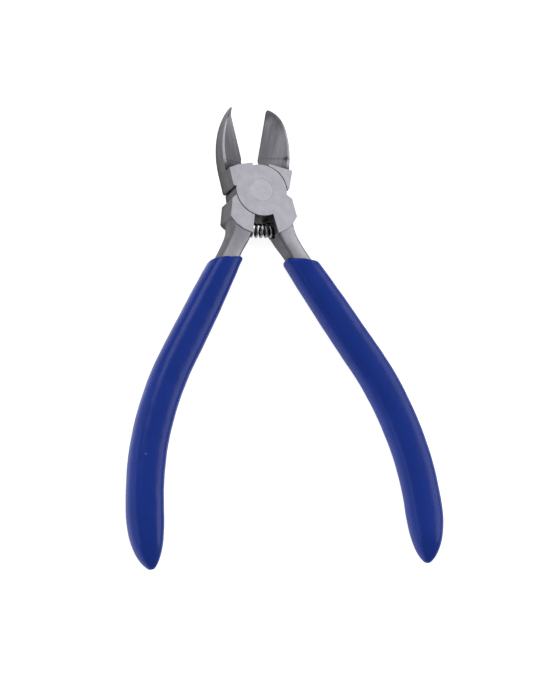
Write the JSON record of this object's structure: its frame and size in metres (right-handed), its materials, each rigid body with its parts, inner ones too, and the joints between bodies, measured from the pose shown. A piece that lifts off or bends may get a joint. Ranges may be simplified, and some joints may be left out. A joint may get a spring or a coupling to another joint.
{
  "type": "sprue nippers",
  "caption": "Flush-cutting hand nippers for plastic sprues, with a riveted lap joint, a coil return spring and dipped vinyl grips.",
  "frame": {"origin": "pivot axis at the back face of the joint, which is the face the tool lies on", "axes": "+Y towards the jaws' tips, +Z out of the front face along the pivot axis, X across the tool"},
  "size_m": [0.1007, 0.1483, 0.01],
  "materials": {
    "ground_steel": "satin ground faces, fine grinding lines on the jaws",
    "rivet_steel": "ground flush with the joint",
    "spring_wire": "bright drawn spring wire",
    "blue_vinyl": "glossy dipped vinyl"
  },
  "bodies": {
    "back_half": {"back_lever": "ground_steel", "pivot_rivet": "rivet_steel", "return_spring": "spring_wire", "left_grip": "blue_vinyl"},
    "front_half": {"front_lever": "ground_steel", "right_grip": "blue_vinyl"}
  },
  "joints": [
    {"name": "jaw_pivot", "type": "hinge", "parent": "back_half", "child": "front_half", "pos_m": [0, 0, 0.005], "axis": [0, 0, 1], "range_deg": [-23, 10], "stiffness_Nm_per_rad": 1, "deforming": ["return_spring"]}
  ]
}
